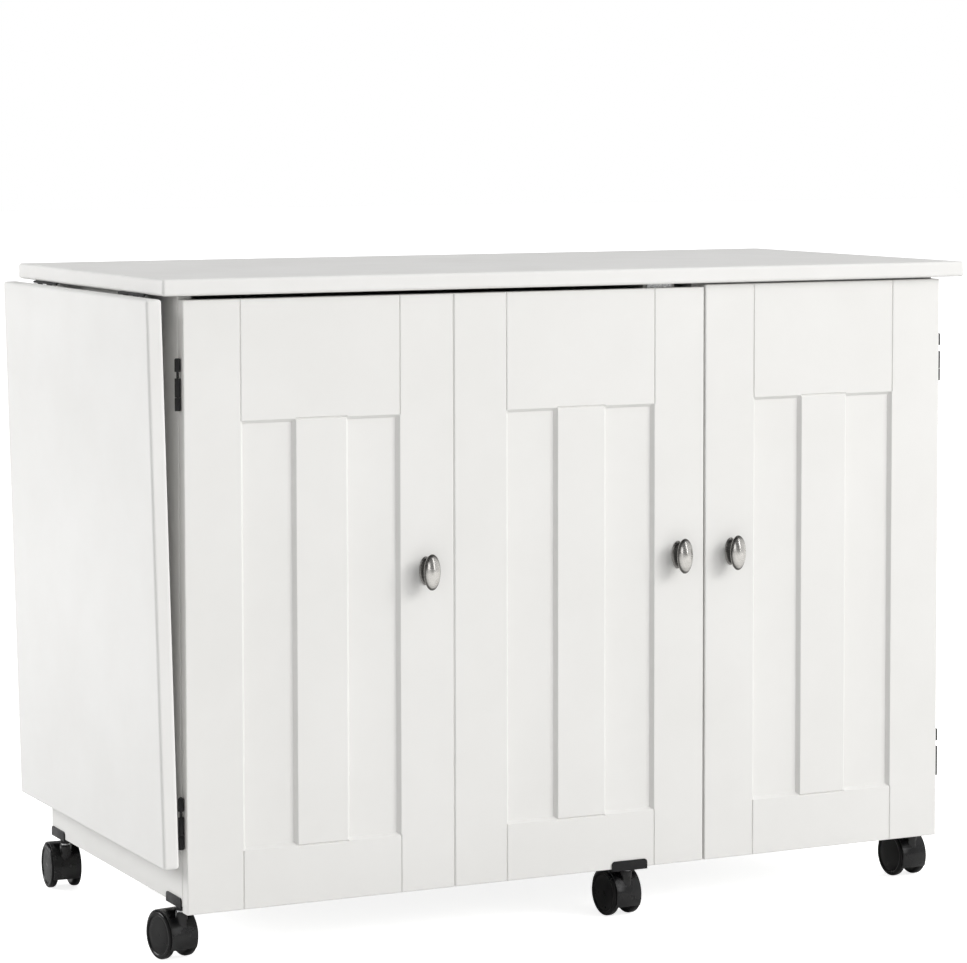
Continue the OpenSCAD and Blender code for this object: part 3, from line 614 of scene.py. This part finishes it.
# ---- Casters and hardware ------------------------------------------------------------------
CASTERS = ["front_left_caster", "rear_left_caster", "front_right_caster", "rear_right_caster", "door_caster"]
SAME_PLACE = 0.002 * MM            # vertices closer than this are one
FLAT_ANGLE = math.radians(1)       # faces that meet at less than this are one
SHARP_ANGLE = math.radians(28)     # edges over this are rounded
CREASE_ANGLE = math.radians(35)    # edges over this stay creased in the shading


def wheel_profile():
    """Half of a wheel's section: radius, and height from the inner face to the outer face."""
    inner = [(0, 7.0), (2.55, 7.0), (2.55, 0.4), (2.9, 0), (8, 0), (8.6, 0.6), (17.5, 0.6), (18.2, 0)]
    tread = arc(22, 4, 4, -90, 0, 8) + arc(23.8, 7.0, 2.2, 0, 90, 7)
    face = [(22.6, 9.2), (21.9, 9.1), (21.5, 8.7), (21.1, 8.25), (20.5, 8.15), (19.6, 8.3),
            (17.5, 8.52), (14, 8.72), (10, 8.86), (5, 8.95), (0, 8.98)]
    return [(r * MM, h * MM) for r, h in inner + tread + face]


def make_wheel(caster, side):
    """One of a caster's two wheels, on its own joint."""
    node = f"{caster}_{side}_wheel"
    joint = JOINTS[node + "_spin"]
    axle = Vector(joint["axis"]).normalized()
    out = -axle if side == "left" else axle
    wheel = lathe(node + "_turned", wheel_profile())
    turn = Vector((0, 0, 1)).rotation_difference(out).to_matrix().to_4x4()
    wheel.data.transform(Matrix.Translation(Vector(joint["pos_m"]) + out * WHEEL_IN) @ turn)
    finish_piece(wheel, node, "caster_plastic", WHEEL_MATERIAL)
    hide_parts(node)


def softened(node, body, slot, width):
    """A copy of a CAD node with its flat faces joined up and its sharp edges rounded."""
    source = frame["nodes"][node]
    bm = bmesh.new()
    bm.from_mesh(source.data)
    bmesh.ops.remove_doubles(bm, verts=bm.verts[:], dist=SAME_PLACE)
    bmesh.ops.dissolve_limit(bm, angle_limit=FLAT_ANGLE, verts=bm.verts[:], edges=bm.edges[:])
    sharp = [e for e in bm.edges if len(e.link_faces) == 2 and e.calc_face_angle(0) > SHARP_ANGLE]
    bmesh.ops.bevel(bm, geom=sharp, offset=width, offset_type="OFFSET", segments=EASE_SEGMENTS,
                    profile=0.5, affect="EDGES", clamp_overlap=True)
    piece = from_bmesh(node + "_softened", bm)
    piece.data.set_sharp_from_angle(angle=CREASE_ANGLE)
    finish_piece(piece, body, slot)
    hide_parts(node)


def make_casters():
    """Turned wheels and softened hoods; the stems stay as they are in the frame."""
    for caster in CASTERS:
        for side in ("left", "right"):
            make_wheel(caster, side)
        softened(caster + "_hood", caster, "caster_plastic", HOOD_EASE)


# Each piece of black metal and its body
HARDWARE = {
    "caster_saddles": "cabinet",
    "door_caster_saddle": "wide_door",
    "left_hinge_side_plates": "cabinet",
    "right_hinge_side_plates": "cabinet",
    "wide_door_hinge_plates": "wide_door",
    "right_door_hinge_plates": "right_door",
}


def make_hardware():
    """The black metal pieces that show."""
    for node, body in HARDWARE.items():
        softened(node, body, "black_metal", METAL_EASE)


def paint_kept_nodes():
    """Every CAD node that is still shown gets its slot's material."""
    slots = {part["node"]: part["material_slot"] for part in frame["record"]["subparts"]}
    for node, shown in frame["nodes"].items():
        for index in range(max(1, len(shown.material_slots))):
            if index >= len(shown.data.materials):
                shown.data.materials.append(MATERIALS[slots[node]])
            else:
                shown.material_slots[index].material = MATERIALS[slots[node]]


# ---- Stage ---------------------------------------------------------------------------------
FLOOR_HALF = 30                # metres from the floor's middle to its edges
FLOOR_Z = -0.2 * MM            # just under the wheels, so that no faces coincide
FLOOR_GLOW = 0.8               # white that the floor adds near the table, for the camera only
GLOW_NEAR, GLOW_FAR = 0.8, 3.5     # metres from the middle over which that grows to full white

LIGHT_AIM = (0, 0, 0.4)
WARM_WHITE = (1.0, 0.99, 0.975)
# Strength of the surrounding light from each side: right, rear, front and above
SKY = {(1, 0, 0): 1.34, (0, 1, 0): 0.37, (0, -1, 0): 0.30, (0, 0, 1): 0.30}
GLOSS_SKY = 0.42               # how much of it shows in reflections
SEEN_WHITE = 1.0               # what the camera sees of it


def make_floor():
    """Pale paper, which fades to plain white away from the table."""
    bm = bmesh.new()
    bmesh.ops.create_grid(bm, x_segments=2, y_segments=2, size=FLOOR_HALF)
    floor = from_bmesh("floor", bm)
    floor.location.z = FLOOR_Z
    n = Nodes("floor_paper")
    n.link(n.colours(n.noise(3.0), (0.71, 0.71, 0.705), (0.73, 0.73, 0.725), *NOISE_RANGE),
           n.shader.inputs["Base Color"])
    n.link(n.ramp(n.noise(6.0), 0.85, 0.95), n.shader.inputs["Roughness"])
    n.set(Specular_IOR_Level=0.1, Emission_Color=(1, 1, 1, 1))
    distance = n.new("ShaderNodeVectorMath", operation="LENGTH")
    n.link(n.place, distance.inputs[0])
    glow = n.new("ShaderNodeMath", operation="MULTIPLY")
    n.link(n.ramp(distance.outputs["Value"], FLOOR_GLOW, 1.0, GLOW_NEAR, GLOW_FAR), glow.inputs[0])
    n.link(n.new("ShaderNodeLightPath").outputs["Is Camera Ray"], glow.inputs[1])
    n.link(glow.outputs["Value"], n.shader.inputs["Emission Strength"])
    floor.data.materials.append(n.material)


def area_light(name, place, size, power, colour=(1, 1, 1)):
    """A rectangular light aimed at the cabinet's middle; size is its width and height."""
    data = bpy.data.lights.new(name, "AREA")
    data.shape = "RECTANGLE"
    data.size, data.size_y = size
    data.energy = power
    data.color = colour
    light = bpy.data.objects.new(name, data)
    light.location = place
    light.rotation_mode = "QUATERNION"
    light.rotation_quaternion = (Vector(LIGHT_AIM) - Vector(place)).to_track_quat("-Z", "Y")
    bpy.context.scene.collection.objects.link(light)
    return light


def make_world():
    """Plain white for the camera; the light itself comes softly from four sides."""
    world = bpy.data.worlds.new("studio")
    world.use_nodes = True
    tree = world.node_tree
    background = tree.nodes["Background"]
    background.inputs["Color"].default_value = (1, 1, 1, 1)
    place = tree.nodes.new("ShaderNodeTexCoord")

    def maths(operation, first, second):
        """The result of a Math node, whose inputs are numbers or sockets."""
        node = tree.nodes.new("ShaderNodeMath")
        node.operation = operation
        for socket, value in zip(node.inputs, (first, second)):
            if isinstance(value, (int, float)):
                socket.default_value = value
            else:
                tree.links.new(value, socket)
        return node.outputs["Value"]

    total = 0.0
    for side, strength in SKY.items():
        along = tree.nodes.new("ShaderNodeVectorMath")
        along.operation = "DOT_PRODUCT"
        tree.links.new(place.outputs["Generated"], along.inputs[0])
        along.inputs[1].default_value = side
        lobe = maths("MULTIPLY", maths("MAXIMUM", along.outputs["Value"], 0.0), strength)
        total = maths("ADD", lobe, total)

    path = tree.nodes.new("ShaderNodeLightPath")
    dimmed = maths("SUBTRACT", 1.0, maths("MULTIPLY", path.outputs["Is Glossy Ray"], 1.0 - GLOSS_SKY))
    lit = maths("MULTIPLY", total, dimmed)
    unseen = maths("SUBTRACT", 1.0, path.outputs["Is Camera Ray"])
    seen = maths("MULTIPLY", path.outputs["Is Camera Ray"], SEEN_WHITE)
    tree.links.new(maths("ADD", maths("MULTIPLY", lit, unseen), seen), background.inputs["Strength"])
    bpy.context.scene.world = world
    bpy.context.scene.view_settings.view_transform = "Standard"


def make_light():
    """Soft boxes for shape, a narrow one for the streak on the knobs, and the surrounding light."""
    key = area_light("key", place=(3.0, -3.2, 2.3), size=(1.8, 1.8), power=95, colour=WARM_WHITE)
    key.visible_glossy = False
    area_light("rear_left", place=(-3.4, 2.2, 2.0), size=(1.6, 1.6), power=114)
    area_light("front_left", place=(-3.2, -3.0, 1.5), size=(1.6, 1.6), power=13)
    area_light("strip", place=(1.2, -3.5, 2.3), size=(0.5, 3.4), power=15)
    make_world()


make_boards()
make_top()
make_leaf()
make_doors()
make_knobs()
make_casters()
make_hardware()
paint_kept_nodes()
make_floor()
make_light()
